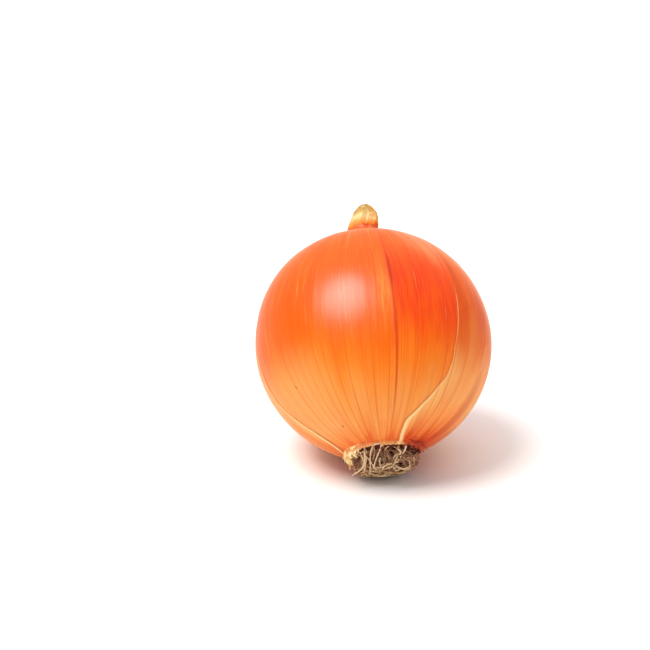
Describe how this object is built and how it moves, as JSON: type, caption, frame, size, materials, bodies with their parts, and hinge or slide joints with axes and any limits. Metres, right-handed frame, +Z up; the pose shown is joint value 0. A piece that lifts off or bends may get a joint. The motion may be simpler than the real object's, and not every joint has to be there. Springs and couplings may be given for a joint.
{
  "type": "onion",
  "caption": "Round dried onion with papery ribbed skin split down the front, a short pleated neck and a mat of curled roots; it lies tipped on its flank.",
  "frame": {"origin": "centre of the small flat spot on the bulb's flank that it rests on", "axes": "+Z up, away from the surface it lies on; the roots point forwards, to -Y, and down; the neck points back, to +Y, and up"},
  "size_m": [0.0804, 0.08, 0.0797],
  "materials": {
    "onion_skin": "satin",
    "dry_root": "matte"
  },
  "bodies": {
    "root": {"bulb": "onion_skin", "root_tuft": "dry_root"}
  },
  "joints": []
}
